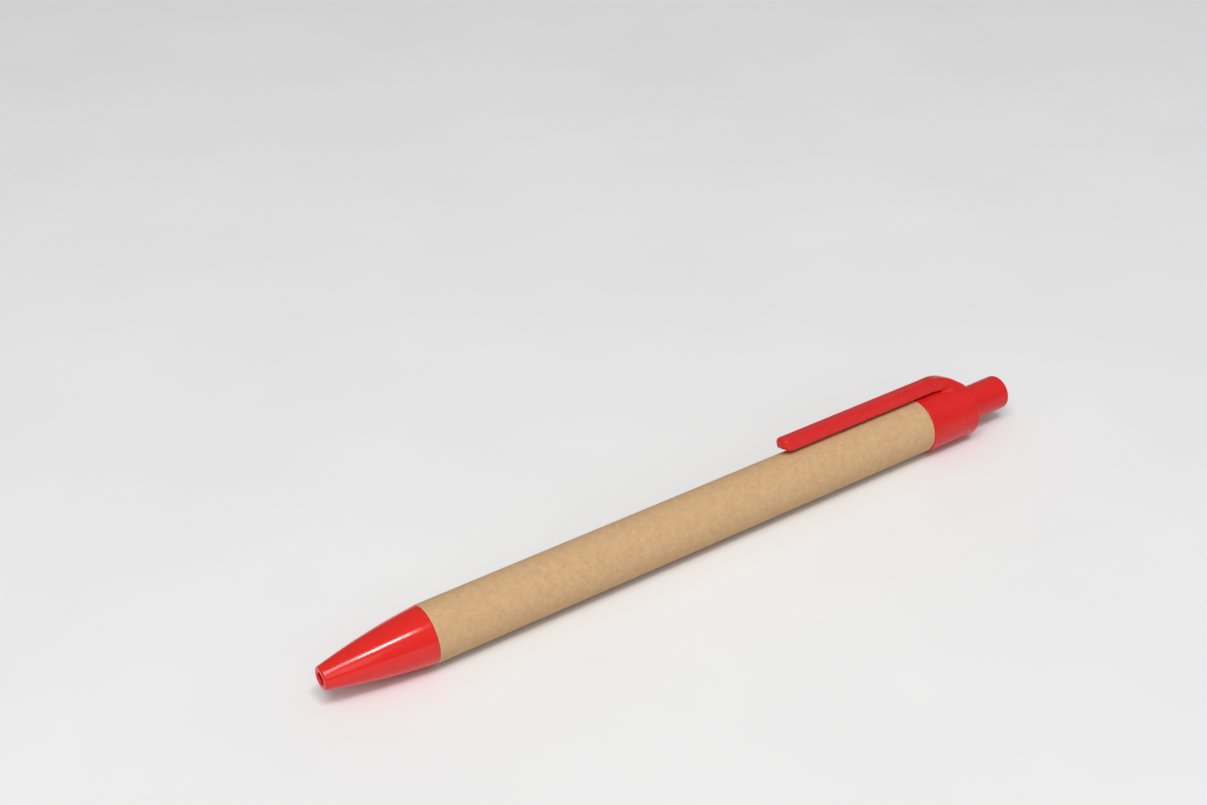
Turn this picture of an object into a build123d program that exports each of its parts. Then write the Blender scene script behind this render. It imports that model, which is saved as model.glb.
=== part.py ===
from build123d import *
import math
import os

# Retractable ballpoint pen with a paper barrel, lying along X with its nose towards -X.
# Millimetres. Stations along the pen are measured from the nose's front face; the
# finished pen is then centred on X and lifted so that its collar rests on Z = 0.

# --- overall lengths -------------------------------------------------------------
NOSE_LENGTH = 18.1
BARREL_LENGTH = 101.7
COLLAR_LENGTH = 10.85
BUTTON_PROUD = 9.35
BARREL_END = NOSE_LENGTH + BARREL_LENGTH
COLLAR_END = BARREL_END + COLLAR_LENGTH
OVERALL = COLLAR_END + BUTTON_PROUD

# --- paper barrel: a grey liner with a kraft wrap wound over it ----------------------
BARREL_R = 4.95
WRAP_THICKNESS = 0.35
TUBE_BORE_R = 4.0
GLUE_GAP = 0.02
SPIGOT_R = TUBE_BORE_R - GLUE_GAP

# --- strokes -----------------------------------------------------------------------
PRESS_TRAVEL = 5.2
LATCHED_TRAVEL = 4.0
BALL_RECESS = 1.5

# --- nose cone ---------------------------------------------------------------------
NOSE_TIP_R = 1.92
NOSE_REAR_R = 4.88
NOSE_CROWN = 0.36
NOSE_TIP_ROUND = 0.42
NOSE_REAR_ROUND = 0.12
MOUTH_R = 1.05
MOUTH_ROUND = 0.25
MOUTH_LENGTH = 3.2
GUIDE_BORE_R = 1.75
SPRING_SEAT = 7.0
SPRING_CHAMBER_R = 2.5
NOSE_SPIGOT_LENGTH = 14.0
GLUE_GROOVES = 3
GLUE_GROOVE_DEPTH = 0.25
GLUE_GROOVE_WIDTH = 1.2
GLUE_GROOVE_START = 2.2
GLUE_GROOVE_PITCH = 3.6

# --- collar, button and click mechanism -------------------------------------------------
COLLAR_R = 5.15
COLLAR_FLANGE = 1.65
COLLAR_REAR_ROUND = 0.45
COLLAR_FRONT_ROUND = 0.15
BUTTON_HOLE_LIP = 0.25
BUTTON_R = 3.15
BUTTON_ROUND = 0.7
BUTTON_CLEARANCE = 0.08
BUTTON_FLANGE_R = 3.42
BUTTON_FLANGE = 1.6
STOP_GAP = 0.1
SKIRT_R = 2.8
BUTTON_BORE_R = 1.95
BUTTON_END_WALL = 3.0

SLEEVE_FRONT = 104.0
TRACK_R = 3.4
STOP_CHAMBER_R = 3.5
STOP_CHAMBER_SPARE = 0.5
RIB_FRONT = 113.0
RIB_BORE_R = 2.88
RIB_ROOT = 0.2
SLOT_WIDTH = 1.3
KEY_WIDTH = 1.05
KEY_R = 3.3
STATIONS_PER_TURN = 8
SLOTS = STATIONS_PER_TURN // 2
RAMP_DEPTH = 0.8

ROTOR_KEY_LENGTH = 2.8
ROTOR_KEY_SLANT = 0.4
ROTOR_BODY_FRONT = 113.4
ROTOR_BODY_R = 2.75
ROTOR_STEM_FRONT = 108.0
ROTOR_STEM_R = 2.3
ROTOR_PILOT_R = 1.85
ROTOR_PILOT_LENGTH = 5.1
CROWN_ROOT = 116.4
CROWN_HEIGHT = 0.8
CROWN_OFFSET = 0.65
TOOTH_FOOT = 0.3
CUP_R = 1.56
CUP_DEPTH = 4.5
KEY_ROOT = 0.4
KEY_SETBACK = 0.6

# --- refill and spring -----------------------------------------------------------------
BALL_R = 0.5
BALL_SEAT_R = 0.52
BALL_SHOWING = 0.25
TIP_CONE_LENGTH = 3.0
TIP_R = 0.95
TIP_LENGTH = 7.0
TIP_SHANK_R = 0.72
TIP_SHANK_LENGTH = 2.4
HOLDER_R = 1.5
HOLDER_LENGTH = 3.0
HOLDER_SHANK_R = 1.0
HOLDER_SHANK_LENGTH = 3.0
FEED_R = 0.3
HOLDER_FEED_R = 0.48
HOLDER_CHAMFER = 0.25
TIP_RIM = 0.07
TIP_NECK_LENGTH = 0.5
TIP_NECK_FLARE = 0.16
TUBE_R = 1.5
INK_R = 1.0
TUBE_END_GAP = 0.1
INK_END = 86.0
GREASE_LENGTH = 5.0
LUG_R = 2.15
LUG_LENGTH = 1.2
LUG_WIDTH = 1.3
LUG_ROOT = 0.2

SPRING_LENGTH = 24.0
SPRING_MEAN_R = 2.05
SPRING_WIRE_R = 0.2
SPRING_TURNS = 13
SPRING_END_GAP = 0.05

# --- clip ------------------------------------------------------------------------------
CLIP_ROLL = 15.0
CLIP_TIP = 89.5
CLIP_WIDTH = 3.15
CLIP_UNDER = 5.52
CLIP_TOP = 7.70
CLIP_CORNER = 1.1
CLIP_EDGE = 0.6
CLIP_LEAD_LENGTH = 1.7
CLIP_LEAD_RISE = 0.75
ARCH_START = 123.3
ARCH_LENGTH = 6.8
ARCH_SHOULDER = (127.6, 6.86)
ARCH_INNER_START = 124.2
ARCH_INNER_END = 127.1
ARCH_ROOT_R = 4.95
ROOT_FLOOR = 3.3
FAN_FRONT = 124.6
FAN_FULL = 127.0
FAN_HALF_WIDTH = 2.5
FAN_HOLLOW_R = 3.0
CLIP_SEAT_GAP = 0.05
CLIP_SEAT_R = COLLAR_R + CLIP_SEAT_GAP

# stations that several pieces share
BALL_CENTRE = BALL_RECESS + BALL_R
TIP_FRONT = BALL_CENTRE - BALL_SHOWING
TIP_REAR = TIP_FRONT + TIP_LENGTH
HOLDER_REAR = TIP_REAR + HOLDER_LENGTH
SLEEVE_REAR = COLLAR_END - COLLAR_FLANGE
BUTTON_FLANGE_REAR = SLEEVE_REAR - STOP_GAP
BUTTON_FLANGE_FRONT = BUTTON_FLANGE_REAR - BUTTON_FLANGE
STOP_CHAMBER_FRONT = BUTTON_FLANGE_FRONT - PRESS_TRAVEL - STOP_CHAMBER_SPARE
ROTOR_KEY_REAR = RIB_FRONT + RAMP_DEPTH / 2 + LATCHED_TRAVEL
CUP_FLOOR = ROTOR_STEM_FRONT + CUP_DEPTH
LUG_FRONT = SPRING_SEAT + SPRING_LENGTH


def turned(*edges):
    """A solid of revolution about X from an outline in the XY plane, closed on itself."""
    return revolve(make_face(Wire(list(edges))), Axis.X, 360)


def turned_polygon(*points):
    """A solid of revolution about X from straight-sided outline points (station, radius)."""
    return revolve(make_face(Polyline(*points, close=True)), Axis.X, 360)


def ring(start, end, outer, inner=0.0):
    """A plain cylinder or tube along X between two stations."""
    return turned_polygon((start, inner), (end, inner), (end, outer), (start, outer))


def around(solid, count, start_angle=0.0):
    """Copies of a solid spread evenly about the X axis."""
    step = 360 / count
    return [solid.rotate(Axis.X, start_angle + step * i) for i in range(count)]


def axial_key(start, end, width, inner, outer):
    """A straight rib along X that stands radially between two radii, at the +Z side."""
    size = (end - start, width, outer - inner)
    return Pos((start + end) / 2, 0, (inner + outer) / 2) * Box(*size)


def radial_prism(outline, outer):
    """A prism whose (station, sideways) outline runs out from the axis towards +Z."""
    return extrude(make_face(Polyline(*outline, close=True)), outer, dir=(0, 0, 1))


def tooth_ring(root, height, outer, inner, start_angle):
    """A crown of pointed teeth that stand on the plane at station root."""
    half = outer * math.tan(math.pi / STATIONS_PER_TURN)
    foot = root - math.copysign(TOOTH_FOOT, height)
    outline = [(foot, -half), (root, -half), (root + height, 0), (root, half), (foot, half)]
    teeth = Part() + around(radial_prism(outline, outer + 1), STATIONS_PER_TURN, start_angle)
    return teeth & ring(min(foot, root + height), max(foot, root + height), outer, inner)


def placed(shape):
    """From stations about the pen's axis to the finished frame."""
    return Pos(-OVERALL / 2, 0, COLLAR_R) * shape


# --- barrel pieces -----------------------------------------------------------------


def nose_cone():
    """Crowned cone with a stepped bore and a grooved spigot that glues into the tube."""
    spigot_end = NOSE_LENGTH + NOSE_SPIGOT_LENGTH
    middle_r = (NOSE_TIP_R + NOSE_REAR_R) / 2 + NOSE_CROWN
    crown = ThreePointArc((0, NOSE_TIP_R), (NOSE_LENGTH / 2, middle_r), (NOSE_LENGTH, NOSE_REAR_R))
    inside = Polyline(
        (NOSE_LENGTH, NOSE_REAR_R),
        (NOSE_LENGTH, SPIGOT_R),
        (spigot_end, SPIGOT_R),
        (spigot_end, SPRING_CHAMBER_R),
        (SPRING_SEAT, SPRING_CHAMBER_R),
        (SPRING_SEAT, GUIDE_BORE_R),
        (MOUTH_LENGTH, GUIDE_BORE_R),
        (MOUTH_LENGTH, MOUTH_R),
        (MOUTH_ROUND, MOUTH_R),
    )
    lip = (0, MOUTH_R + MOUTH_ROUND)
    mouth = TangentArc((MOUTH_ROUND, MOUTH_R), lip, tangent=(-1, 0))
    cone = turned(crown, *inside.edges(), mouth, Line(lip, (0, NOSE_TIP_R)))
    front = cone.edges().filter_by(GeomType.CIRCLE).group_by(Axis.X)[0]
    cone = fillet(front.sort_by(SortBy.RADIUS)[-1], NOSE_TIP_ROUND)
    rear = cone.edges().filter_by_position(Axis.X, NOSE_LENGTH, NOSE_LENGTH)
    cone = fillet(rear.sort_by(SortBy.RADIUS)[-1], NOSE_REAR_ROUND)
    for i in range(GLUE_GROOVES):
        start = NOSE_LENGTH + GLUE_GROOVE_START + GLUE_GROOVE_PITCH * i
        cone -= ring(start, start + GLUE_GROOVE_WIDTH, SPIGOT_R + 1, SPIGOT_R - GLUE_GROOVE_DEPTH)
    return cone


def paper_core():
    """Grey board liner of the wound tube."""
    return ring(NOSE_LENGTH, BARREL_END, BARREL_R - WRAP_THICKNESS, TUBE_BORE_R)


def kraft_wrap():
    """Brown kraft wrap, which is the barrel's outside."""
    return ring(NOSE_LENGTH, BARREL_END, BARREL_R, BARREL_R - WRAP_THICKNESS)


def collar():
    """Red cap on the tube's rear end, with a flange that stops the button."""
    cap = ring(BARREL_END, COLLAR_END, COLLAR_R)
    ends = cap.edges().filter_by(GeomType.CIRCLE)
    cap = fillet(ends.sort_by(Axis.X)[-1], COLLAR_REAR_ROUND)
    cap = fillet(cap.edges().filter_by(GeomType.CIRCLE).sort_by(Axis.X)[0], COLLAR_FRONT_ROUND)
    cap -= ring(BARREL_END - 1, SLEEVE_REAR, TUBE_BORE_R)
    hole_r = BUTTON_R + BUTTON_CLEARANCE
    cap -= ring(SLEEVE_REAR - 1, COLLAR_END + 1, hole_r)
    rear = cap.edges().filter_by_position(Axis.X, COLLAR_END, COLLAR_END)
    return chamfer(rear.sort_by(SortBy.RADIUS)[0], BUTTON_HOLE_LIP)


def guide_sleeve():
    """Fixed cam: ribs and slots that guide the button and index the rotor."""
    sleeve = ring(SLEEVE_FRONT, SLEEVE_REAR, SPIGOT_R, TRACK_R)
    ribs = ring(RIB_FRONT, STOP_CHAMBER_FRONT, TRACK_R + RIB_ROOT, RIB_BORE_R)
    half_pitch = RIB_BORE_R * math.tan(math.pi / STATIONS_PER_TURN)
    ramp = radial_prism(
        [(RIB_FRONT - 1, -half_pitch), (RIB_FRONT, -half_pitch),
         (RIB_FRONT + RAMP_DEPTH, half_pitch), (RIB_FRONT - 1, half_pitch)],
        TRACK_R + 1,
    )
    pitch_angle = 360 / STATIONS_PER_TURN
    ribs -= around(ramp, STATIONS_PER_TURN, pitch_angle / 2)
    slot = axial_key(RIB_FRONT - 1, STOP_CHAMBER_FRONT + 1, SLOT_WIDTH, 1, TRACK_R + 1)
    ribs -= around(slot, SLOTS)
    sleeve += ribs
    return sleeve - ring(STOP_CHAMBER_FRONT, SLEEVE_REAR + 1, STOP_CHAMBER_R)


# --- moving pieces ------------------------------------------------------------------


def push_button():
    """Button with a stop flange, a toothed skirt and keys that ride in the guide's slots."""
    skirt_front = CROWN_ROOT + CROWN_HEIGHT + CROWN_OFFSET
    cap = ring(BUTTON_FLANGE_FRONT, OVERALL, BUTTON_R)
    cap = fillet(cap.edges().filter_by(GeomType.CIRCLE).sort_by(Axis.X)[-1], BUTTON_ROUND)
    cap += ring(BUTTON_FLANGE_FRONT, BUTTON_FLANGE_REAR, BUTTON_FLANGE_R)
    cap += ring(skirt_front, BUTTON_FLANGE_REAR, SKIRT_R)
    key_rear = STOP_CHAMBER_FRONT - KEY_SETBACK
    key = axial_key(skirt_front + KEY_SETBACK, key_rear, KEY_WIDTH, SKIRT_R - KEY_ROOT, KEY_R)
    cap += around(key, SLOTS)
    step = 360 / STATIONS_PER_TURN
    teeth_end = skirt_front - CROWN_HEIGHT
    cap += tooth_ring(skirt_front, -CROWN_HEIGHT, SKIRT_R, BUTTON_BORE_R, step / 4)
    return cap - ring(teeth_end - 1, OVERALL - BUTTON_END_WALL, BUTTON_BORE_R)


def cam_rotor():
    """Rotor with a cup for the refill, four keys and a toothed crown behind."""
    rotor = ring(ROTOR_STEM_FRONT, ROTOR_BODY_FRONT, ROTOR_STEM_R)
    rotor += ring(ROTOR_BODY_FRONT, CROWN_ROOT, ROTOR_BODY_R)
    rotor += ring(CROWN_ROOT, CROWN_ROOT + ROTOR_PILOT_LENGTH, ROTOR_PILOT_R)
    rotor += tooth_ring(CROWN_ROOT, CROWN_HEIGHT, ROTOR_BODY_R, ROTOR_PILOT_R, 0)
    key_front = ROTOR_KEY_REAR - ROTOR_KEY_LENGTH
    key = axial_key(key_front, ROTOR_KEY_REAR, KEY_WIDTH, ROTOR_BODY_R - KEY_ROOT, KEY_R)
    half = KEY_WIDTH / 2
    slant = radial_prism(
        [(ROTOR_KEY_REAR - ROTOR_KEY_SLANT, -half), (ROTOR_KEY_REAR, half),
         (ROTOR_KEY_REAR + 1, half), (ROTOR_KEY_REAR + 1, -half)],
        KEY_R + 1,
    )
    rotor += around(key - slant, SLOTS)
    return rotor - ring(ROTOR_STEM_FRONT - 1, CUP_FLOOR, CUP_R)


def refill_tube():
    """Plastic ink tube, with two pinched lugs that carry the spring."""
    tube = ring(HOLDER_REAR, CUP_FLOOR - TUBE_END_GAP, TUBE_R)
    lug = axial_key(LUG_FRONT, LUG_FRONT + LUG_LENGTH, LUG_WIDTH, INK_R + LUG_ROOT, LUG_R)
    tube += around(lug, 2)
    return tube - ring(HOLDER_REAR - 1, CUP_FLOOR + 1, INK_R)


def tip_holder():
    """Plastic holder between the ink tube and the metal point."""
    holder = ring(TIP_REAR, HOLDER_REAR, HOLDER_R)
    holder = chamfer(holder.edges().filter_by(GeomType.CIRCLE).sort_by(Axis.X)[0], HOLDER_CHAMFER)
    holder += ring(HOLDER_REAR, HOLDER_REAR + HOLDER_SHANK_LENGTH, HOLDER_SHANK_R)
    holder -= ring(TIP_REAR - 1, TIP_REAR + TIP_SHANK_LENGTH, TIP_SHANK_R)
    return holder - ring(TIP_REAR, HOLDER_REAR + HOLDER_SHANK_LENGTH + 1, HOLDER_FEED_R)


def writing_tip():
    """Metal point with the ball's seat and the ink feed."""
    cone_end = TIP_FRONT + TIP_CONE_LENGTH
    rim_r = math.sqrt(BALL_SEAT_R ** 2 - BALL_SHOWING ** 2) + TIP_RIM
    tip = turned_polygon(
        (TIP_FRONT, 0),
        (TIP_FRONT, rim_r),
        (TIP_FRONT + TIP_NECK_LENGTH, rim_r + TIP_NECK_FLARE),
        (cone_end, TIP_R),
        (TIP_REAR, TIP_R),
        (TIP_REAR, TIP_SHANK_R),
        (TIP_REAR + TIP_SHANK_LENGTH, TIP_SHANK_R),
        (TIP_REAR + TIP_SHANK_LENGTH, 0),
    )
    tip -= Pos(BALL_CENTRE, 0, 0) * Sphere(BALL_SEAT_R)
    return tip - ring(BALL_CENTRE, TIP_REAR + TIP_SHANK_LENGTH + 1, FEED_R)


def ball():
    """Writing ball."""
    return Pos(BALL_CENTRE, 0, 0) * Sphere(BALL_R)


def ink():
    """Ink column behind the point's holder."""
    return ring(HOLDER_REAR + HOLDER_SHANK_LENGTH, INK_END, INK_R)


def grease_plug():
    """Plug of grease that follows the ink and keeps it from drying."""
    return ring(INK_END, INK_END + GREASE_LENGTH, INK_R)


def return_spring():
    """Coil spring between the nose's seat and the refill's lugs, at its fitted length."""
    coil_length = SPRING_LENGTH - 2 * (SPRING_WIRE_R + SPRING_END_GAP)
    pitch = coil_length / SPRING_TURNS
    coil = Helix(pitch, coil_length, SPRING_MEAN_R)
    wire = Plane(coil @ 0, z_dir=coil % 0) * Circle(SPRING_WIRE_R)
    spring = sweep(wire, coil)
    return Pos(SPRING_SEAT + SPRING_WIRE_R + SPRING_END_GAP, 0, 0) * Rot(0, 90, 0) * spring


def clip_outline():
    """The clip's side view: arm, arch, and a root that reaches down inside the collar."""
    root_rear = (ARCH_START + ARCH_LENGTH, ARCH_ROOT_R)
    floor_rear = (root_rear[0], ROOT_FLOOR)
    floor_front = (ARCH_INNER_END, ROOT_FLOOR)
    lead_end = (CLIP_TIP + CLIP_LEAD_LENGTH, CLIP_UNDER)
    lead_start = (CLIP_TIP, CLIP_UNDER + CLIP_LEAD_RISE)
    return make_face(Wire([
        Line((CLIP_TIP, CLIP_TOP), (ARCH_START, CLIP_TOP)),
        ThreePointArc((ARCH_START, CLIP_TOP), ARCH_SHOULDER, root_rear),
        Line(root_rear, floor_rear),
        Line(floor_rear, floor_front),
        TangentArc((ARCH_INNER_START, CLIP_UNDER), floor_front, tangent=(1, 0)),
        Line((ARCH_INNER_START, CLIP_UNDER), lead_end),
        TangentArc(lead_end, lead_start, tangent=(-1, 0)),
        Line(lead_start, (CLIP_TIP, CLIP_TOP)),
    ]))


def fan_prism():
    """Block with hollow sides that run out onto the collar, narrowed towards its front."""
    half = CLIP_WIDTH / 2
    reach = CLIP_SEAT_R + FAN_HOLLOW_R
    top = math.sqrt(reach ** 2 - (half + FAN_HOLLOW_R) ** 2)
    seat_share = CLIP_SEAT_R / reach
    foot = ((half + FAN_HOLLOW_R) * seat_share, top * seat_share)
    section = make_face(Wire([
        Line((0, 0), (0, top)),
        Line((0, top), (half, top)),
        TangentArc((half, top), foot, tangent=(0, -1)),
        Line(foot, (0, 0)),
    ]))
    section = Pos(FAN_FRONT, 0, 0) * (Plane.YZ * section)
    side = extrude(section, COLLAR_END - FAN_FRONT, dir=(1, 0, 0))
    front = [(FAN_FRONT, half), (FAN_FULL, FAN_HALF_WIDTH), (COLLAR_END, FAN_HALF_WIDTH)]
    plan = front + [(station, -width) for station, width in reversed(front)]
    return (side + side.mirror(Plane.XZ)) & radial_prism(plan, top)


def clip():
    """Arm that runs forward over the barrel and fans out at its root to meet the collar."""
    outline = Plane.XZ * clip_outline()
    arm = Box(OVERALL, CLIP_WIDTH, COLLAR_R, align=(Align.MIN, Align.CENTER, Align.MIN))
    arm = Pos(CLIP_TIP, 0, ROOT_FLOOR) * arm
    arm = fillet(arm.edges().filter_by(Axis.Z).group_by(Axis.X)[0], CLIP_CORNER)
    body = extrude(outline, CLIP_WIDTH, both=True)
    arm = arm & body
    arm = fillet(arm.faces().sort_by(Axis.Z)[-1].edges(), CLIP_EDGE)
    arm += fan_prism() & body
    arm -= ring(BARREL_END, COLLAR_END + 1, CLIP_SEAT_R)
    return arm.rotate(Axis.X, -CLIP_ROLL)


PIECES = [
    nose_cone, paper_core, kraft_wrap, collar, guide_sleeve, clip, push_button, cam_rotor,
    refill_tube, tip_holder, writing_tip, ball, ink, grease_plug, return_spring,
]

os.makedirs("parts", exist_ok=True)
for piece in PIECES:
    export_step(placed(piece()), f"parts/{piece.__name__}.step")
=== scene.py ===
import math

import bmesh
import bpy
from mathutils import Matrix, Vector, noise


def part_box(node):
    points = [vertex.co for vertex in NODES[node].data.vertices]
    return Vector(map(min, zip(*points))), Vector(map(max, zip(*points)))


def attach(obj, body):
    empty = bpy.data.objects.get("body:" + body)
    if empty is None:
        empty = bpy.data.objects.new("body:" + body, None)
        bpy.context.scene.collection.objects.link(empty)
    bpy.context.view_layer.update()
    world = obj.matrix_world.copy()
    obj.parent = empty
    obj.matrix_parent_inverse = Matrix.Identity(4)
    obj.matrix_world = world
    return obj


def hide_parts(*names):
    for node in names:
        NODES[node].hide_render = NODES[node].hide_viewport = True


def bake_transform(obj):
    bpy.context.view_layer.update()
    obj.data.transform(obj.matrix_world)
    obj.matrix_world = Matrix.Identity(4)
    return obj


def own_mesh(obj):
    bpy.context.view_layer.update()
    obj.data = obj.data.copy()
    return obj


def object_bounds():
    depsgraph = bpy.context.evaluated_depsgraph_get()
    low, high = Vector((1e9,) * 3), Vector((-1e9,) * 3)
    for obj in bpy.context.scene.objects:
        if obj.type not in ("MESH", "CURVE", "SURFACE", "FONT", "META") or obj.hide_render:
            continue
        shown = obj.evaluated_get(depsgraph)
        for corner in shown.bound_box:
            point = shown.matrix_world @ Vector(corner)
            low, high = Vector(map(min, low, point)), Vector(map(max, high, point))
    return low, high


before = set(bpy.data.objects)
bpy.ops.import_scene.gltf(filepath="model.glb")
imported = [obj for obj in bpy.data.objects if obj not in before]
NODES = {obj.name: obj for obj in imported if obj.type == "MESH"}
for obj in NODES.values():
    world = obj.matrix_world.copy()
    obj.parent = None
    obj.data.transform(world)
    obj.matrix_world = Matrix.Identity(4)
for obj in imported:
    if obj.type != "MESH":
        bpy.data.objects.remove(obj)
CAD_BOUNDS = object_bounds()

# Stations run along the pen from the nose's front face, and radii are about its axis,
# both in millimetres. The meshes themselves are in metres.
MM = 0.001
FRONT_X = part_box("nose_cone")[0].x
AXIS_Z = sum(corner.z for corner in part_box("kraft_wrap")) / 2
SEGMENTS = 192
SMOOTH_ANGLE = math.radians(40)


def ends(node):
    """First and last station of a CAD node."""
    return [(corner.x - FRONT_X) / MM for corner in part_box(node)]


def radius(node):
    """Outside radius of a round CAD node."""
    low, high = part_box(node)
    return (high.y - low.y) / 2 / MM


BARREL_START, BARREL_END = ends("kraft_wrap")
BARREL_R = radius("kraft_wrap")
CORE_R = radius("paper_core")
NOSE_LENGTH = BARREL_START
SPIGOT_END = ends("nose_cone")[1]
COLLAR_END = ends("collar")[1]
COLLAR_R = radius("collar")
SLEEVE_REAR = ends("guide_sleeve")[1]
BUTTON_END = ends("push_button")[1]

# --- nose ---------------------------------------------------------------------------
NOSE_TIP_R = 1.92
NOSE_REAR_R = 4.88
NOSE_CROWN = 0.36
NOSE_TIP_ROUND = 0.42
NOSE_REAR_ROUND = 0.12
NOSE_STEPS = 36
MOUTH_R = 1.05
MOUTH_ROUND = 0.25
MOUTH_LENGTH = 3.2
GUIDE_BORE_R = 1.75
SPRING_SEAT = 7.0
SPRING_CHAMBER_R = 2.5
TUBE_BORE_R = 4.0
SPIGOT_R = 3.98
SPIGOT_ROUND = 0.2
CHAMBER_ROUND = 0.1
GLUE_GROOVES = 3
GLUE_GROOVE_R = 3.73
GLUE_GROOVE_WIDTH = 1.2
GLUE_GROOVE_START = 2.2
GLUE_GROOVE_PITCH = 3.6

# --- kraft wrap ------------------------------------------------------------------------
# The sheet's last column comes round to just short of its first, so the lap is a step.
PAPER = 0.06
LAP_ANGLE = math.radians(55)
LAP_CLOSURE = 0.9999
LAP_SPAN = 2 * math.pi * SEGMENTS / (SEGMENTS - 1) * LAP_CLOSURE
WRAP_EDGE_ROUND = 0.03
WRAP_RINGS = 150
WRAP_RIPPLE = 0.006
WRAP_RIPPLE_SCALE = 0.45

# --- collar and button ---------------------------------------------------------------
COLLAR_REAR_ROUND = 0.45
COLLAR_FRONT_ROUND = 0.15
BUTTON_HOLE_R = 3.23
BUTTON_HOLE_ROUND = 0.25
BUTTON_R = 3.15
BUTTON_ROUND = 0.7
BUTTON_CROWN = 0.06
BUTTON_FLANGE_R = 3.42
BUTTON_FLANGE_FRONT = 127.3
BUTTON_FLANGE_REAR = 128.9
BUTTON_FLANGE_ROUND = 0.1
SKIRT_R = 2.8
SKIRT_BORE_R = 1.95
SKIRT_FRONT = 117.85
TOOTH_HEIGHT = 0.76
TOOTH_TURN = math.radians(11.25)
TOOTH_ROUND = 0.03
TEETH = 8
BORE_END = 137.0
KEY_WIDTH = 1.05
KEY_R = 3.3
KEY_FRONT = 118.45
KEY_REAR = 121.0
KEY_ROOT = 0.3
KEY_EDGE = 0.08
KEYS = 4

# --- clip ------------------------------------------------------------------------------
CLIP_ROLL = math.radians(15)
CLIP_TIP = 89.5
CLIP_HALF_WIDTH = 1.575
CLIP_UNDER = 5.52
CLIP_TOP = 7.70
CLIP_CORNER = 1.1
CLIP_LEAD_LENGTH = 1.7
CLIP_LEAD_RISE = 0.75
CLIP_TOP_EDGE = 0.62
TIP_EDGE_SHARE = 0.6
CLIP_UNDER_EDGE = 0.2
ARCH_START = 123.3
ARCH_SHOULDER = (127.6, 6.86)
ARCH_FOOT = (130.1, 4.95)
ARCH_STEPS = 48
ARC_STEPS = 60
ARM_STEPS = 40
TIP_STEPS = 22
INNER_START = (124.2, 5.52)
INNER_FOOT = (127.1, 3.3)
ROOT_FLARE = 0.6
ROOT_DEPTH = 0.35
ROOT_STEPS = 16
SUNK_STEPS = 2
FAN_FRONT = 124.6
FAN_FULL = 127.0
FAN_HOLLOW_R = 3.0
FAN_SHARE = 0.4

# --- spring ------------------------------------------------------------------------------
SPRING_MEAN_R = 2.05
SPRING_WIRE_R = 0.2
SPRING_TURNS = 13
SPRING_DEAD_TURNS = 1.3
SPRING_DEAD_PITCH = 0.42
SPRING_STEPS = 40
SPRING_SIDES = 14


# --- mesh tools -----------------------------------------------------------------------


def filleted(corners, steps=10):
    """An outline with rounded corners, from (station, radius, round) corners."""
    points = []
    for i, (x, r, fillet) in enumerate(corners):
        here = Vector((x, r))
        if not fillet:
            points.append(here)
            continue
        back = (Vector(corners[i - 1][:2]) - here).normalized()
        ahead = (Vector(corners[(i + 1) % len(corners)][:2]) - here).normalized()
        half = back.angle(ahead) / 2
        centre = here + (back + ahead).normalized() * fillet / math.sin(half)
        first = here + back * fillet / math.tan(half) - centre
        last = here + ahead * fillet / math.tan(half) - centre
        sweep = first.angle(last)
        for k in range(steps + 1):
            part = k / steps
            mixed = first * math.sin((1 - part) * sweep) + last * math.sin(part * sweep)
            points.append(centre + mixed / math.sin(sweep))
    return points


def supported(outline, reach=0.08, splits=0):
    """The outline with points near the ends of its long runs, and more between on request."""
    points = []
    for i, here in enumerate(outline):
        ahead = outline[(i + 1) % len(outline)]
        run = ahead - here
        points.append(here)
        if run.length > 4 * reach and not (here.y == 0 and ahead.y == 0):
            first = here + run.normalized() * reach
            last = ahead - run.normalized() * reach
            points += [first.lerp(last, k / (splits + 1)) for k in range(splits + 2)]
    return points


def finished(name, build):
    """An object from a bmesh, with outward normals and smooth shading."""
    bmesh.ops.recalc_face_normals(build, faces=build.faces)
    mesh = bpy.data.meshes.new(name)
    build.to_mesh(mesh)
    build.free()
    mesh.shade_smooth()
    mesh.set_sharp_from_angle(angle=SMOOTH_ANGLE)
    piece = bpy.data.objects.new(name, mesh)
    bpy.context.scene.collection.objects.link(piece)
    return piece


def polar(station, r, angle):
    """A point of the row frame, at an angle about the axis from +Z towards +Y."""
    return Vector((
        FRONT_X + station * MM,
        r * MM * math.sin(angle),
        AXIS_Z + r * MM * math.cos(angle),
    ))


def turned(build, outline_at, segments=SEGMENTS, start=0.0, span=2 * math.pi):
    """Adds a closed surface of revolution. outline_at(angle) gives its closed outline there."""
    uv = build.loops.layers.uv.verify()
    columns, poles = [], {}
    for j in range(segments):
        angle = start + span * j / segments
        column = []
        for i, point in enumerate(outline_at(angle)):
            if point.y == 0:
                if i not in poles:
                    poles[i] = build.verts.new(polar(point.x, 0, 0))
                column.append((poles[i], point))
            else:
                column.append((build.verts.new(polar(point.x, point.y, angle)), point))
        columns.append(column)
    for j, column in enumerate(columns):
        beside = columns[(j + 1) % segments]
        for i, here in enumerate(column):
            k = (i + 1) % len(column)
            ring = [(here, j), (column[k], j), (beside[k], j + 1), (beside[i], j + 1)]
            unique = []
            for (vertex, point), index in ring:
                if vertex not in [v for v, _, _ in unique]:
                    unique.append((vertex, point, index))
            if len(unique) < 3:
                continue
            face = build.faces.new([v for v, _, _ in unique])
            for loop, (_, point, index) in zip(face.loops, unique):
                angle = span * index / segments
                loop[uv].uv = (angle * BARREL_R, point.x + point.y)


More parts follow.
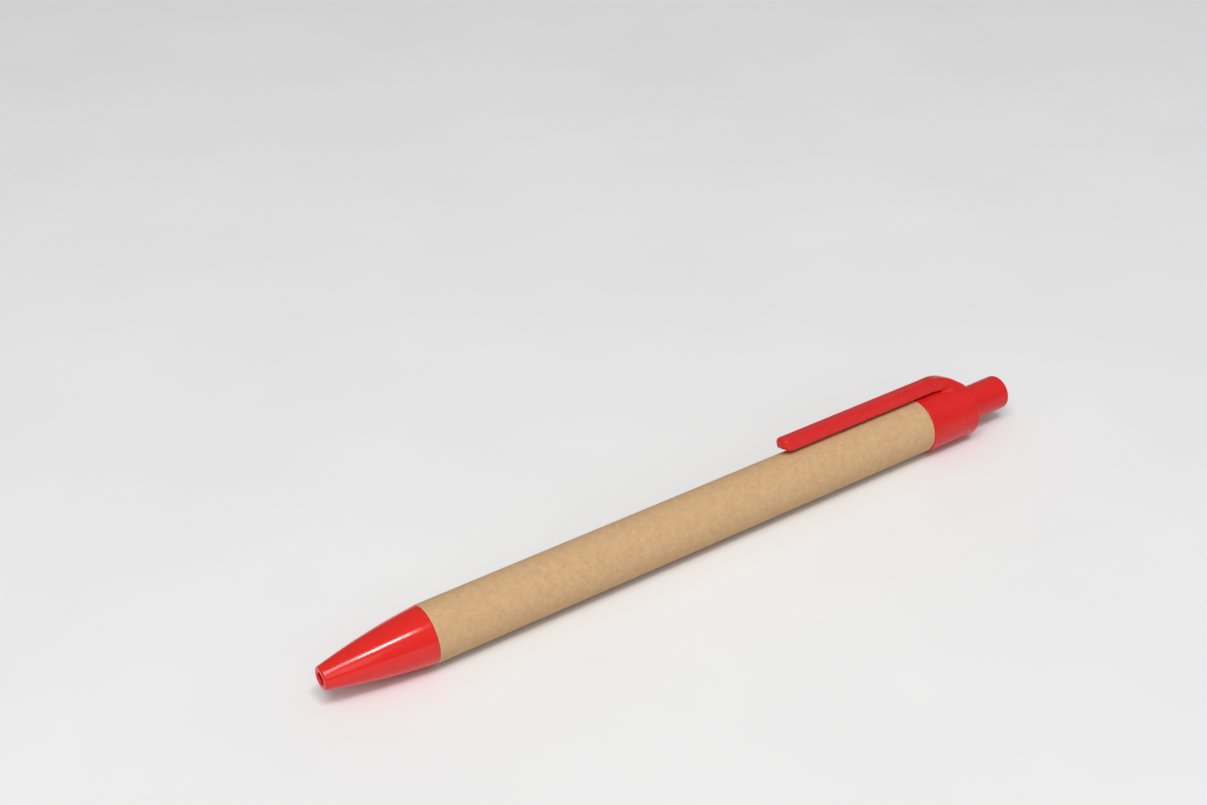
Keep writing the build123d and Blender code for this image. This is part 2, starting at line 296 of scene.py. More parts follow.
def loft(build, rings):
    """Adds a closed skin through rings of points, with both ends capped."""
    skins = [[build.verts.new(point) for point in ring] for ring in rings]
    for before, after in zip(skins, skins[1:]):
        for i in range(len(before)):
            k = (i + 1) % len(before)
            build.faces.new((before[i], before[k], after[k], after[i]))
    for skin in (skins[0], skins[-1]):
        middle = sum((v.co for v in skin), Vector()) / len(skin)
        centre = build.verts.new(middle)
        for i in range(len(skin)):
            build.faces.new((skin[i], skin[(i + 1) % len(skin)], centre))


def triangle_wave(angle, count):
    """Height from 0 to 1 of a crown of pointed teeth, with a point at angle 0."""
    share = (angle * count / (2 * math.pi) + 0.5) % 1
    return 1 - abs(2 * share - 1)


# --- barrel pieces -----------------------------------------------------------------


def crown_point(part):
    """The nose's crowned side at a share of its length."""
    straight = NOSE_TIP_R + (NOSE_REAR_R - NOSE_TIP_R) * part
    return part * NOSE_LENGTH, straight + NOSE_CROWN * 4 * part * (1 - part)


def nose_shell():
    """Crowned cone with a rounded tip, a stepped bore and a grooved spigot."""
    corners = [(0, MOUTH_R, MOUTH_ROUND), (0, NOSE_TIP_R, NOSE_TIP_ROUND)]
    corners += [(*crown_point(k / NOSE_STEPS), 0) for k in range(1, NOSE_STEPS)]
    corners += [(NOSE_LENGTH, NOSE_REAR_R, NOSE_REAR_ROUND), (NOSE_LENGTH, SPIGOT_R, 0)]
    for i in range(GLUE_GROOVES):
        groove = NOSE_LENGTH + GLUE_GROOVE_START + GLUE_GROOVE_PITCH * i
        corners += [
            (groove, SPIGOT_R, 0),
            (groove, GLUE_GROOVE_R, 0),
            (groove + GLUE_GROOVE_WIDTH, GLUE_GROOVE_R, 0),
            (groove + GLUE_GROOVE_WIDTH, SPIGOT_R, 0),
        ]
    corners += [
        (SPIGOT_END, SPIGOT_R, SPIGOT_ROUND),
        (SPIGOT_END, SPRING_CHAMBER_R, CHAMBER_ROUND),
        (SPRING_SEAT, SPRING_CHAMBER_R, 0),
        (SPRING_SEAT, GUIDE_BORE_R, 0),
        (MOUTH_LENGTH, GUIDE_BORE_R, 0),
        (MOUTH_LENGTH, MOUTH_R, 0),
    ]
    outline = supported(filleted(corners))
    build = bmesh.new()
    turned(build, lambda angle: outline)
    return finished("nose_shell", build)


def kraft_barrel():
    """Kraft wrap on the core. The free edge of its outermost turn is a lap on the far side."""
    def outline_at(angle):
        share = (angle - LAP_ANGLE) / (2 * math.pi)
        outer = BARREL_R - PAPER * share
        corners = [(BARREL_END, outer, WRAP_EDGE_ROUND), (BARREL_END, CORE_R, 0)]
        corners += [(BARREL_START, CORE_R, 0), (BARREL_START, outer, WRAP_EDGE_ROUND)]
        points = filleted(corners, steps=3)
        length = BARREL_END - BARREL_START
        for k in range(1, WRAP_RINGS):
            station = BARREL_START + length * k / WRAP_RINGS
            side, up = outer * math.sin(angle), outer * math.cos(angle)
            place = Vector((station * WRAP_RIPPLE_SCALE, side, up))
            points.append(Vector((station, outer + WRAP_RIPPLE * (noise.noise(place) - 0.5))))
        return points

    build = bmesh.new()
    turned(build, outline_at, start=LAP_ANGLE, span=LAP_SPAN)
    return finished("kraft_barrel", build)


def collar_cap():
    """Cap on the tube's rear end, with a soft rear rim round the button's hole."""
    outline = supported(filleted([
        (BARREL_END, TUBE_BORE_R, 0),
        (BARREL_END, COLLAR_R, COLLAR_FRONT_ROUND),
        (COLLAR_END, COLLAR_R, COLLAR_REAR_ROUND),
        (COLLAR_END, BUTTON_HOLE_R, BUTTON_HOLE_ROUND),
        (SLEEVE_REAR, BUTTON_HOLE_R, 0),
        (SLEEVE_REAR, TUBE_BORE_R, 0),
    ], steps=14))
    build = bmesh.new()
    turned(build, lambda angle: outline)
    return finished("collar_cap", build)


# --- button ---------------------------------------------------------------------------


def button_outline(angle):
    """The button's outline, whose front end rises and falls with the teeth."""
    front = SKIRT_FRONT - TOOTH_HEIGHT * triangle_wave(angle + TOOTH_TURN, TEETH)
    corners = [(BUTTON_END, 0, 0)]
    corners += [(BUTTON_END - BUTTON_CROWN, BUTTON_R, BUTTON_ROUND)]
    corners += [
        (BUTTON_FLANGE_REAR, BUTTON_R, 0),
        (BUTTON_FLANGE_REAR, BUTTON_FLANGE_R, BUTTON_FLANGE_ROUND),
        (BUTTON_FLANGE_FRONT, BUTTON_FLANGE_R, BUTTON_FLANGE_ROUND),
        (BUTTON_FLANGE_FRONT, SKIRT_R, 0),
        (front, SKIRT_R, TOOTH_ROUND),
        (front, SKIRT_BORE_R, TOOTH_ROUND),
        (BORE_END, SKIRT_BORE_R, 0),
        (BORE_END, 0, 0),
    ]
    return supported(filleted(corners, steps=12))


def thumb_button():
    """Button with a soft end, a stop flange, a toothed skirt and four guide keys."""
    build = bmesh.new()
    turned(build, button_outline)
    middle = (KEY_FRONT + KEY_REAR) / 2
    size = (KEY_REAR - KEY_FRONT, KEY_WIDTH, KEY_R - SKIRT_R + KEY_ROOT)
    for i in range(KEYS):
        place = Matrix.Translation((FRONT_X + middle * MM, 0, AXIS_Z))
        place @= Matrix.Rotation(2 * math.pi * i / KEYS, 4, "X")
        place @= Matrix.Translation((0, 0, (KEY_R - size[2] / 2) * MM))
        place @= Matrix.Diagonal((*[s * MM for s in size], 1))
        key = bmesh.ops.create_cube(build, size=1, matrix=place)["verts"]
        edges = {edge for vertex in key for edge in vertex.link_edges}
        bmesh.ops.bevel(
            build, geom=list(edges), offset=KEY_EDGE * MM, segments=3, affect="EDGES")
    return finished("thumb_button", build)


# --- clip ------------------------------------------------------------------------------


def clip_point(station, side, height):
    """A point of the row frame from the clip's own directions."""
    return Vector((
        FRONT_X + station * MM,
        (side * math.cos(CLIP_ROLL) + height * math.sin(CLIP_ROLL)) * MM,
        AXIS_Z + (height * math.cos(CLIP_ROLL) - side * math.sin(CLIP_ROLL)) * MM,
    ))


def circle_through(a, b, c):
    """Centre and radius of the circle through three points."""
    a, b, c = Vector(a), Vector(b), Vector(c)
    u, v = b - a, c - a
    twice = 2 * (u.x * v.y - u.y * v.x)
    x = (v.y * u.length_squared - u.y * v.length_squared) / twice
    y = (u.x * v.length_squared - v.x * u.length_squared) / twice
    return a + Vector((x, y)), Vector((x, y)).length


def circle_along(start, end):
    """Centre and radius of the circle that leaves one point level and passes another."""
    drop, reach = start[1] - end[1], end[0] - start[0]
    r = (reach ** 2 + drop ** 2) / (2 * drop)
    return Vector((start[0], start[1] - r)), r


OUTER_CENTRE, OUTER_R = circle_through((ARCH_START, CLIP_TOP), ARCH_SHOULDER, ARCH_FOOT)
INNER_CENTRE, INNER_R = circle_along(INNER_START, INNER_FOOT)
FAN_REACH = COLLAR_R + FAN_HOLLOW_R
FAN_TOP = math.sqrt(FAN_REACH ** 2 - (CLIP_HALF_WIDTH + FAN_HOLLOW_R) ** 2)


def at_height(centre, r, height):
    """Station where a falling arc passes a height."""
    return centre.x + math.sqrt(max(r * r - (height - centre.y) ** 2, 0))


def under_station(height):
    """Station of the arch's inside at a height."""
    return at_height(INNER_CENTRE, INNER_R, height)


def rear_station(height):
    """Station of the arch's outside at a height, which ends short of the collar's rim."""
    return min(at_height(OUTER_CENTRE, OUTER_R, height), ARCH_FOOT[0])


def spread(station, height):
    """Width of the root over that of the arm: its sides hollow out onto the collar."""
    drop = min(max(FAN_TOP - height, 0), FAN_TOP * FAN_HOLLOW_R / FAN_REACH)
    hollow = FAN_HOLLOW_R - math.sqrt(FAN_HOLLOW_R ** 2 - drop ** 2)
    return 1 + hollow / CLIP_HALF_WIDTH * eased((station - FAN_FRONT) / (FAN_FULL - FAN_FRONT))


def section(half_width, thickness, top_edge, under_edge):
    """A rounded rectangle as (side, height) points, with its long sides split."""
    corners = [
        (half_width, 0, under_edge),
        (half_width, thickness, top_edge),
        (-half_width, thickness, top_edge),
        (-half_width, 0, under_edge),
    ]
    return supported(filleted(corners, steps=8), reach=0.07, splits=7)


def flare(height):
    """How far the root has spread at a height above the collar."""
    if height >= ROOT_FLARE:
        return 0.0
    drop = ROOT_FLARE - max(height, 0)
    return ROOT_FLARE - math.sqrt(ROOT_FLARE ** 2 - drop ** 2)


def eased(part):
    """Smooth step from 0 to 1."""
    part = min(max(part, 0), 1)
    return part * part * (3 - 2 * part)


def clip_rings():
    """Cross-sections from the tip along the arm, round the arch and down into the collar."""
    rings = []
    for depth in tip_depths():
        narrow = rounded_drop(depth, CLIP_CORNER)
        low = CLIP_UNDER + lead_rise(depth)
        high = CLIP_TOP - rounded_drop(depth, CLIP_TOP_EDGE)
        half_width = CLIP_HALF_WIDTH - narrow
        edge = min(CLIP_TOP_EDGE, half_width * TIP_EDGE_SHARE)
        shape = section(half_width, high - low, edge, CLIP_UNDER_EDGE)
        rings.append([clip_point(CLIP_TIP + depth, p.x, low + p.y) for p in shape])
    shape = section(CLIP_HALF_WIDTH, CLIP_TOP - CLIP_UNDER, CLIP_TOP_EDGE, CLIP_UNDER_EDGE)
    tip_end = CLIP_TIP + CLIP_LEAD_LENGTH
    for k in range(1, ARM_STEPS):
        station = tip_end + (ARCH_START - tip_end) * k / ARM_STEPS
        rings.append([clip_point(station, p.x, CLIP_UNDER + p.y) for p in shape])
    return rings + arch_rings() + root_rings()


def tip_depths():
    """Depths of the tip's sections, close together where its corners turn fastest."""
    turns = [math.pi / 2 * k / TIP_STEPS for k in range(TIP_STEPS + 1)]
    return [CLIP_LEAD_LENGTH * (1 - math.cos(turn)) for turn in turns]


def lead_rise(depth):
    """How far the underside has risen at a depth from the tip."""
    bend = (CLIP_LEAD_LENGTH ** 2 + CLIP_LEAD_RISE ** 2) / (2 * CLIP_LEAD_RISE)
    return bend - math.sqrt(bend ** 2 - max(CLIP_LEAD_LENGTH - depth, 0) ** 2)


def rounded_drop(depth, edge):
    """How far a rounded end edge lies below its face, at a depth from the end."""
    if depth >= edge:
        return 0.0
    return edge - math.sqrt(edge ** 2 - (edge - depth) ** 2)


def arc_points(centre, r, first, last, steps):
    """Points along an arc between two angles."""
    angles = [first + (last - first) * k / steps for k in range(steps + 1)]
    return [centre + Vector((math.cos(a), math.sin(a))) * r for a in angles]


def resampled(points, count):
    """Points evenly spaced along a path."""
    lengths = [0.0]
    for before, after in zip(points, points[1:]):
        lengths.append(lengths[-1] + (after - before).length)
    result, i = [], 0
    for k in range(count + 1):
        target = lengths[-1] * k / count
        while i < len(points) - 2 and lengths[i + 1] < target:
            i += 1
        part = (target - lengths[i]) / (lengths[i + 1] - lengths[i])
        result.append(points[i].lerp(points[i + 1], part))
    return result


def angle_of(centre, point):
    """Direction of a point from a centre."""
    return math.atan2(point[1] - centre.y, point[0] - centre.x)


def arch_rings():
    """Sections whose upright turns from the arm's thickness to the root's length."""
    level = COLLAR_R + ROOT_FLARE
    outer_end = (at_height(OUTER_CENTRE, OUTER_R, level), level)
    inner_end = (at_height(INNER_CENTRE, INNER_R, level), level)
    top_start = (ARCH_START, CLIP_TOP)
    outer = arc_points(
        OUTER_CENTRE, OUTER_R, angle_of(OUTER_CENTRE, top_start),
        angle_of(OUTER_CENTRE, outer_end), ARC_STEPS)
    inner = [Vector((ARCH_START, CLIP_UNDER))] + arc_points(
        INNER_CENTRE, INNER_R, angle_of(INNER_CENTRE, INNER_START),
        angle_of(INNER_CENTRE, inner_end), ARC_STEPS)
    pairs = zip(resampled(outer, ARCH_STEPS), resampled(inner, ARCH_STEPS))
    rings = []
    for k, (over, under) in enumerate(pairs):
        across = over - under
        shape = section(CLIP_HALF_WIDTH, across.length, CLIP_TOP_EDGE, CLIP_UNDER_EDGE)
        share = eased((k / ARCH_STEPS - FAN_SHARE) / (1 - FAN_SHARE))
        ring = []
        for p in shape:
            place = under + across.normalized() * p.y
            part = p.y / across.length
            ring.append(fanned(place, p.x, level, share, under, over, part))
        rings.append(ring)
    return rings


def fanned(place, side, level, share, under, over, part):
    """A section's point after the root has spread and bent down round the collar."""
    wide, sag = side, 0.0
    for _ in range(4):
        wide = side * spread(place.x, place.y - sag)
        sag = sagged(level, wide) * share
    ahead = (under_station(under.y - sag) - under_station(under.y)) * (1 - part)
    behind = (rear_station(over.y - sag) - rear_station(over.y)) * part
    return clip_point(place.x + (ahead + behind) * share, wide, place.y - sag)


def sagged(level, side):
    """How far a round surface has fallen away at a distance to the side."""
    return level - math.sqrt(level ** 2 - side ** 2)


def root_rings():
    """Sections round the pen's axis that spread into the collar and end below its surface."""
    heights = [
        ROOT_FLARE * math.cos(math.pi / 2 * k / ROOT_STEPS) for k in range(1, ROOT_STEPS + 1)]
    heights += [-ROOT_DEPTH * k / SUNK_STEPS for k in range(1, SUNK_STEPS + 1)]
    rings = []
    for height in heights:
        level = COLLAR_R + height
        under = Vector((under_station(max(level, COLLAR_R)), level))
        over = Vector((rear_station(max(level, COLLAR_R)), level))
        length = over.x - under.x + flare(height)
        shape = section(CLIP_HALF_WIDTH, length, CLIP_TOP_EDGE, CLIP_UNDER_EDGE)
        ring = []
        for p in shape:
            place = Vector((under.x - flare(height) + p.y, level))
            ring.append(fanned(place, p.x, level, 1, under, over, p.y / length))
        rings.append(ring)
    return rings


def clip_arm():
    """Pocket clip, with its root in the collar."""
    build = bmesh.new()
    loft(build, clip_rings())
    return finished("clip_arm", build)


# --- spring ------------------------------------------------------------------------------


def spring_coil():
    """Compression spring with closed ends."""
    start, end = ends("return_spring")
    start, end = start + SPRING_WIRE_R, end - SPRING_WIRE_R
    dead = SPRING_DEAD_TURNS * SPRING_DEAD_PITCH
    active = SPRING_TURNS - 2 * SPRING_DEAD_TURNS
    pitch = (end - start - 2 * dead) / active
    rings = []
    for k in range(SPRING_TURNS * SPRING_STEPS + 1):
        turns = k / SPRING_STEPS
        from_end = min(turns, SPRING_TURNS - turns)
        if from_end < SPRING_DEAD_TURNS:
            along = from_end * SPRING_DEAD_PITCH
        else:
            along = dead + (from_end - SPRING_DEAD_TURNS) * pitch
        station = start + along if turns <= SPRING_TURNS / 2 else end - along
        angle = 2 * math.pi * turns
        centre = Vector((station, SPRING_MEAN_R))
        ring = []
        for side in range(SPRING_SIDES):
            turn = 2 * math.pi * side / SPRING_SIDES
            offset = Vector((math.cos(turn), math.sin(turn))) * SPRING_WIRE_R
            ring.append(polar(centre.x + offset.x, centre.y + offset.y, angle))
        rings.append(ring)
    build = bmesh.new()
    loft(build, rings)
    return finished("spring_coil", build)


# --- materials ----------------------------------------------------------------------------


class Paint:
    """A material under construction, with short calls for the nodes that all of them share."""

    def __init__(self, name):
        self.material = bpy.data.materials.new(name)
        self.material.use_nodes = True
        self.tree = self.material.node_tree
        self.shader = self.tree.nodes["Principled BSDF"]
        coordinates = self.add("ShaderNodeTexCoord")
        scaled = self.add("ShaderNodeVectorMath", operation="SCALE")
        self.link(coordinates.outputs["Object"], scaled.inputs[0])
        scaled.inputs["Scale"].default_value = 1 / MM
        self.place = scaled.outputs[0]
        self.sheet = coordinates.outputs["UV"]

    def add(self, kind, **settings):
        node = self.tree.nodes.new(kind)
        for key, value in settings.items():
            setattr(node, key, value)
        return node

    def link(self, source, target):
        self.tree.links.new(source, target)

    def set(self, **values):
        for key, value in values.items():
            self.shader.inputs[key.replace("_", " ")].default_value = value

    def stretched(self, source, scale, turn=0.0):
        """Coordinates turned in their plane, then scaled along each direction."""
        node = self.add("ShaderNodeMapping")
        self.link(source, node.inputs["Vector"])
        node.inputs["Rotation"].default_value = (0, 0, turn)
        outer = self.add("ShaderNodeVectorMath", operation="MULTIPLY")
        self.link(node.outputs[0], outer.inputs[0])
        outer.inputs[1].default_value = scale
        return outer.outputs[0]

    def noise(self, scale, detail=3.0, rough=0.5, source=None):
        node = self.add("ShaderNodeTexNoise")
        self.link(source or self.place, node.inputs["Vector"])
        node.inputs["Scale"].default_value = scale
        node.inputs["Detail"].default_value = detail
        node.inputs["Roughness"].default_value = rough
        return node.outputs["Fac"]

    def ranged(self, value, low, high, to_low=0.0, to_high=1.0):
        node = self.add("ShaderNodeMapRange")
        self.link(value, node.inputs["Value"])
        for key, number in zip(("From Min", "From Max", "To Min", "To Max"),
                               (low, high, to_low, to_high)):
            node.inputs[key].default_value = number
        return node.outputs[0]

    def maths(self, operation, first, second):
        node = self.add("ShaderNodeMath", operation=operation)
        for socket, value in zip(node.inputs, (first, second)):
            if isinstance(value, (int, float)):
                socket.default_value = value
            else:
                self.link(value, socket)
        return node.outputs[0]

    def mixed(self, share, first, second, blend="MIX"):
        """Two colours mixed. Each is a colour or another node's output."""
        node = self.add("ShaderNodeMix", data_type="RGBA", blend_type=blend)
        for socket, value in zip((node.inputs[0], node.inputs[6], node.inputs[7]),
                                 (share, first, second)):
            if isinstance(value, (int, float)):
                socket.default_value = value
            elif isinstance(value, tuple):
                socket.default_value = (*value, 1)
            else:
                self.link(value, socket)
        return node.outputs[2]

    def bumped(self, height, distance, strength=1.0, under=None):
        """A normal from a height that is 1 at `distance` millimetres."""
        node = self.add("ShaderNodeBump")
        self.link(height, node.inputs["Height"])
        node.inputs["Distance"].default_value = distance * MM
        node.inputs["Strength"].default_value = strength
        if under:
            self.link(under, node.inputs["Normal"])
        return node.outputs[0]

    def coloured(self, output):
        self.link(output, self.shader.inputs["Base Color"])

    def roughened(self, output):
        self.link(output, self.shader.inputs["Roughness"])

    def textured(self, output):
        self.link(output, self.shader.inputs["Normal"])


def moulded_plastic(name, dark, light, rough, grain):
    """Moulded plastic: flow in the pigment, an uneven gloss, and a faint orange peel."""
    paint = Paint(name)
    flow = paint.noise(0.22, 4, 0.55, paint.stretched(paint.place, (0.5, 1, 1)))
    speck = paint.noise(9, 2, 0.6)
    share = paint.maths("ADD", paint.ranged(flow, 0.3, 0.7, 0, 0.8), paint.ranged(speck, 0.35, 0.65, 0, 0.2))
    paint.coloured(paint.mixed(share, dark, light))
    cloud = paint.noise(0.5, 5, 0.6)
    paint.roughened(paint.ranged(cloud, 0.3, 0.7, rough * 0.85, rough * 1.15))
    peel = paint.bumped(paint.noise(0.9, 2, 0.4), grain * 3, 0.3)
    paint.textured(paint.bumped(paint.noise(6, 2, 0.5), grain, 0.4, peel))
    return paint


def glossy_red():
    """The nose's bright, polished red."""
    paint = moulded_plastic("nose_red", (0.66, 0.010, 0.006), (0.74, 0.016, 0.010), 0.13, 0.0003)
    paint.set(IOR=1.5, Subsurface_Weight=0.06, Subsurface_Scale=0.001)
    return paint.material


def satin_red():
    """The collar's, clip's and button's red, with a duller surface."""
    paint = moulded_plastic("satin_red", (0.60, 0.011, 0.010), (0.68, 0.019, 0.017), 0.3, 0.0003)
    paint.set(IOR=1.5, Specular_IOR_Level=0.3)
    return paint.material


def fibres(paint, turn, across, along, low, high):
    """Thin streaks in the sheet's plane, at an angle to the pen."""
    lines = paint.stretched(paint.sheet, (across, along, 1), turn)
    return paint.ranged(paint.noise(1, 3, 0.55, lines), low, high)


def kraft():
    """Uncoated brown kraft: cloudy pulp, crossed fibres, and dark specks of bark."""
    paint = Paint("kraft_paper")
    cloud = paint.ranged(paint.noise(0.8, 6, 0.66), 0.32, 0.68)
    colour = paint.mixed(cloud, (0.49, 0.30, 0.148), (0.58, 0.372, 0.195))
    grain = paint.ranged(paint.noise(5.5, 4, 0.65), 0.35, 0.65)
    colour = paint.mixed(paint.maths("MULTIPLY", grain, 0.35), colour, (0.68, 0.46, 0.27))
    heights = []
    for turn, across in ((0.15, 6.0), (1.25, 7.0), (-0.7, 6.5), (2.3, 5.5)):
        light = fibres(paint, turn, across, 0.55, 0.60, 0.72)
        dark = fibres(paint, turn + 0.35, across * 1.2, 0.7, 0.63, 0.74)
        colour = paint.mixed(paint.maths("MULTIPLY", light, 0.30), colour, (0.74, 0.54, 0.34))
        colour = paint.mixed(paint.maths("MULTIPLY", dark, 0.38), colour, (0.27, 0.15, 0.075))
        heights.append(light)
    cells = paint.add("ShaderNodeTexVoronoi", feature="F1")
    paint.link(paint.stretched(paint.sheet, (1.1, 0.6, 1), 0.5), cells.inputs["Vector"])
    cells.inputs["Scale"].default_value = 1.0
    near = paint.ranged(cells.outputs["Distance"], 0.05, 0.11, 1, 0)
    chosen = paint.add("ShaderNodeSeparateColor")
    paint.link(cells.outputs["Color"], chosen.inputs[0])
    keep = paint.ranged(chosen.outputs[0], 0.72, 0.78)
    speck = paint.maths("MULTIPLY", paint.maths("MULTIPLY", near, keep), 0.55)
    paint.coloured(paint.mixed(speck, colour, (0.20, 0.11, 0.05)))
    paint.roughened(paint.ranged(grain, 0, 1, 0.82, 0.95))
    normal = paint.bumped(paint.noise(7, 4, 0.6), 0.012, 0.6)
    for height in heights:
        normal = paint.bumped(height, 0.010, 0.5, normal)
    paint.textured(normal)
    paint.set(Specular_IOR_Level=0.3)
    return paint.material


def grey_board():
    """Recycled board of the core."""
    paint = Paint("grey_board")
    cloud = paint.ranged(paint.noise(1.1, 6, 0.65), 0.3, 0.7)
    colour = paint.mixed(cloud, (0.34, 0.29, 0.23), (0.50, 0.44, 0.36))
    flecks = paint.ranged(paint.noise(1, 3, 0.6, paint.stretched(paint.place, (1.5, 9, 9))), 0.6, 0.75)
    paint.coloured(paint.mixed(paint.maths("MULTIPLY", flecks, 0.4), colour, (0.22, 0.2, 0.19)))
    paint.textured(paint.bumped(paint.noise(6, 4, 0.6), 0.015, 0.7))
    paint.roughened(paint.ranged(cloud, 0, 1, 0.86, 0.96))
    return paint.material


def white_plastic():
    """Slippery white plastic of the click mechanism."""
    paint = moulded_plastic("white_plastic", (0.74, 0.74, 0.71), (0.84, 0.84, 0.82), 0.38, 0.001)
    paint.set(Subsurface_Weight=0.15, Subsurface_Scale=0.001)
    return paint.material


def clear_tube():
    """Extruded ink tube, with die lines along it."""
    paint = Paint("clear_tube")
    lines = paint.noise(1, 3, 0.5, paint.stretched(paint.place, (0.03, 7, 7)))
    paint.coloured(paint.mixed(paint.ranged(lines, 0.3, 0.7), (0.82, 0.86, 0.88), (0.92, 0.94, 0.95)))
    paint.roughened(paint.ranged(lines, 0.3, 0.7, 0.16, 0.28))
    paint.textured(paint.bumped(lines, 0.003, 0.6))
    paint.set(Transmission_Weight=0.75, IOR=1.49)
    return paint.material


def liquid(name, dark, light, transmission, rough):
    """Ink or grease: a smooth paste with slow streaks."""
    paint = Paint(name)
    streak = paint.noise(1, 4, 0.6, paint.stretched(paint.place, (0.25, 1.6, 1.6)))
    paint.coloured(paint.mixed(paint.ranged(streak, 0.3, 0.7), dark, light))
    paint.roughened(paint.ranged(streak, 0.3, 0.7, rough, rough * 1.6))
    paint.set(Transmission_Weight=transmission, IOR=1.45)
    return paint.material


def turned_metal(name, dark, light, rough, stretch, depth):
    """Metal with fine lines left by the tool or the drawing die."""
    paint = Paint(name)
    lines = paint.noise(1, 3, 0.6, paint.stretched(paint.place, stretch))
    stain = paint.noise(1.3, 4, 0.6)
    share = paint.maths("ADD", paint.ranged(lines, 0.3, 0.7, 0, 0.6), paint.ranged(stain, 0.3, 0.7, 0, 0.4))
    paint.coloured(paint.mixed(share, dark, light))
    paint.roughened(paint.ranged(lines, 0.3, 0.7, rough, rough * 1.7))
    paint.textured(paint.bumped(lines, depth, 0.6))
    paint.set(Metallic=1.0)
    return paint.material


def floor_paint():
    """Pale studio floor with a barely visible tooth."""
    paint = Paint("pale_floor")
    cloud = paint.noise(0.02, 4, 0.5)
    paint.coloured(paint.mixed(paint.ranged(cloud, 0.3, 0.7), (0.80, 0.80, 0.80), (0.83, 0.83, 0.83)))
    paint.textured(paint.bumped(paint.noise(0.8, 3, 0.5), 0.01, 0.4))
    paint.set(Roughness=0.7)
    return paint.material


# --- the model ------------------------------------------------------------------------


def dress(piece, material):
    """Gives a new piece its material."""
    piece.data.materials.append(material)


def build_pen():
    """All the pieces that stand for CAD nodes, and the finishes of the nodes that stay."""
    gloss = glossy_red()
    satin = satin_red()
    steel = turned_metal(
        "spring_steel", (0.38, 0.38, 0.38), (0.62, 0.62, 0.61), 0.2, (0.6, 5, 5), 0.003)
    pieces = [
        (nose_shell(), gloss, "nose_plastic", "barrel", "nose_cone"),
        (kraft_barrel(), kraft(), "kraft_paper", "barrel", "kraft_wrap"),
        (collar_cap(), satin, "red_plastic", "barrel", "collar"),
        (thumb_button(), satin, "red_plastic", "button", "push_button"),
    ]
    for piece, material, slot, body, node in pieces:
        dress(piece, material)
        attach(piece, body)
        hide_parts(node)
    arm = clip_arm()
    dress(arm, satin)
    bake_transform(arm)
    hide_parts("clip")
    spring = spring_coil()
    dress(spring, steel)
    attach(spring, "barrel")
    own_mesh(spring)
    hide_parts("return_spring")
    white = white_plastic()
    finishes = {
        "paper_core": grey_board(),
        "guide_sleeve": white,
        "cam_rotor": white,
        "tip_holder": white,
        "refill_tube": clear_tube(),
        "ink": liquid("ink", (0.004, 0.008, 0.09), (0.008, 0.018, 0.18), 0.0, 0.12),
        "grease_plug": liquid("grease", (0.72, 0.58, 0.28), (0.85, 0.74, 0.42), 0.5, 0.2),
        "writing_tip": turned_metal("nickel_silver", (0.52, 0.47, 0.38), (0.74, 0.70, 0.60),
                                    0.16, (16, 0.6, 0.6), 0.002),
        "ball": turned_metal("carbide", (0.30, 0.31, 0.33), (0.42, 0.43, 0.45), 0.07,
                             (5, 5, 5), 0.0005),
    }
    for node, material in finishes.items():
        for place in NODES[node].material_slots:
            place.material = material


# --- studio ------------------------------------------------------------------------------

CAMERA_PLACE = (-0.1517, -0.2050, 0.18495)
CAMERA_RIGHT = (0.8274, -0.5611, -0.0267)
CAMERA_UP = (0.3123, 0.4200, 0.8521)
CAMERA_LENS = 55.2
FLOOR_SIZE = 6.0
SKY_TOWARDS = (-0.20, -0.35, 0.91)
SKY_DARK = 0.06
SKY_BRIGHT = 0.42
# Each light's direction from the nose, distance, size and power.
LIGHTS = {
    "key": ((0.024, -0.41, 0.91), 1.1, (0.20, 0.18), 3.0),
    "broad": ((-0.33, -0.33, 0.88), 1.2, (0.60, 0.68), 7.2),
    "low": ((-0.35, -0.75, 0.56), 2.0, (1.5, 1.0), 4.4),
}


def studio_floor():
    build = bmesh.new()
    bmesh.ops.create_grid(build, x_segments=4, y_segments=4, size=FLOOR_SIZE / 2)
    floor = finished("floor", build)
    floor.location.z = CAD_BOUNDS[0][2]
    floor.data.materials.append(floor_paint())


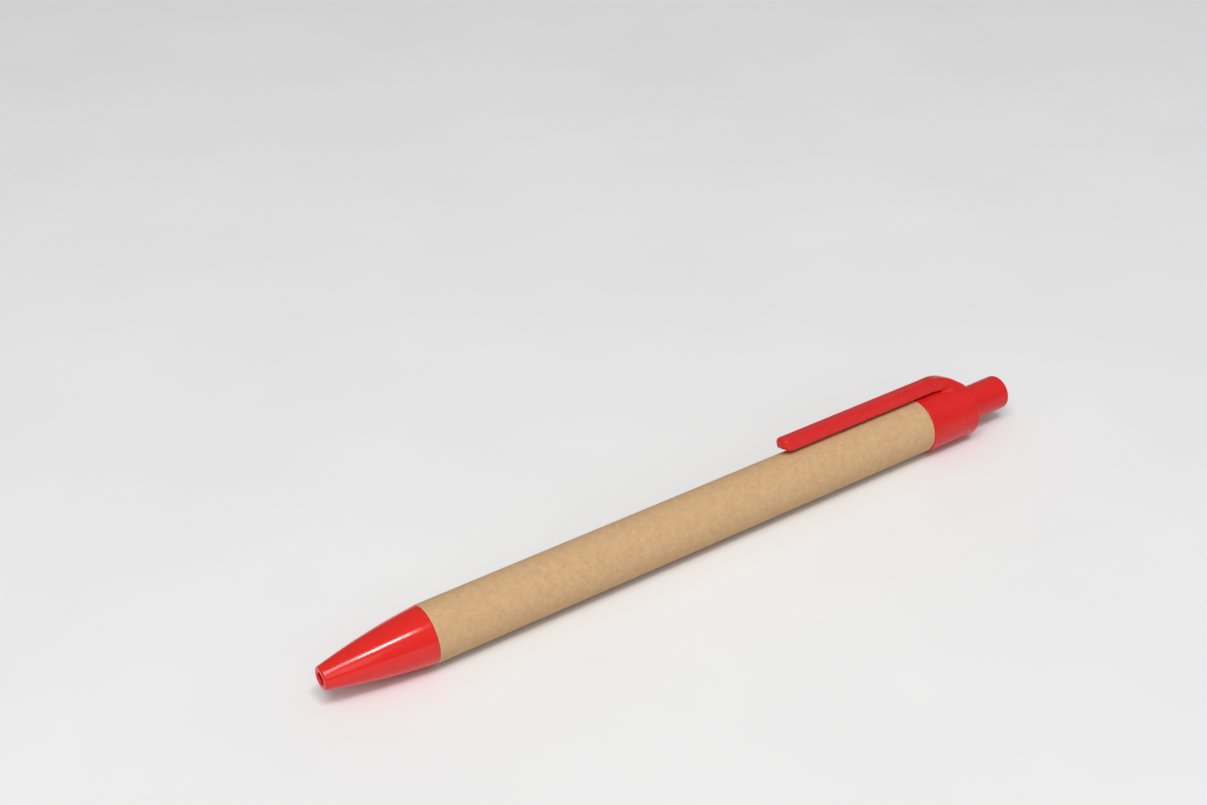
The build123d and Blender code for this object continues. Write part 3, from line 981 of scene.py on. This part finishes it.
def area_light(name, towards, distance, size, power, target):
    """A soft light in a direction from a target, facing it."""
    data = bpy.data.lights.new(name, "AREA")
    data.shape = "RECTANGLE"
    data.size, data.size_y = size
    data.energy = power
    light = bpy.data.objects.new(name, data)
    direction = Vector(towards).normalized()
    light.location = Vector(target) + direction * distance
    light.rotation_euler = direction.to_track_quat("Z", "Y").to_euler()
    bpy.context.scene.collection.objects.link(light)


def studio_world():
    """Soft white surroundings that are brightest above the camera."""
    world = bpy.data.worlds.new("studio")
    bpy.context.scene.world = world
    world.use_nodes = True
    tree = world.node_tree
    background = tree.nodes["Background"]
    place = tree.nodes.new("ShaderNodeTexCoord")
    towards = tree.nodes.new("ShaderNodeVectorMath")
    towards.operation = "DOT_PRODUCT"
    towards.inputs[1].default_value = SKY_TOWARDS
    ramp = tree.nodes.new("ShaderNodeMapRange")
    tree.links.new(place.outputs["Generated"], towards.inputs[0])
    tree.links.new(towards.outputs["Value"], ramp.inputs["Value"])
    ramp.inputs["From Min"].default_value = -1
    ramp.inputs["To Min"].default_value = SKY_DARK
    ramp.inputs["To Max"].default_value = SKY_BRIGHT
    tree.links.new(ramp.outputs[0], background.inputs["Strength"])
    background.inputs["Color"].default_value = (1, 1, 1, 1)


def studio_camera():
    data = bpy.data.cameras.new("camera")
    data.lens = CAMERA_LENS
    data.sensor_width = 36
    data.clip_start = 0.01
    camera = bpy.data.objects.new("camera", data)
    right, up = Vector(CAMERA_RIGHT), Vector(CAMERA_UP)
    turn = Matrix((right, up, right.cross(up))).transposed().to_4x4()
    camera.matrix_world = Matrix.Translation(CAMERA_PLACE) @ turn
    bpy.context.scene.collection.objects.link(camera)
    bpy.context.scene.camera = camera


def build_studio():
    studio_floor()
    studio_world()
    studio_camera()
    nose = polar(NOSE_LENGTH / 2, 0, 0)
    for name, (towards, distance, size, power) in LIGHTS.items():
        area_light(name, towards, distance, size, power, nose)
    settings = bpy.context.scene.view_settings
    settings.view_transform = "Standard"
    settings.look = "None"


build_pen()
build_studio()
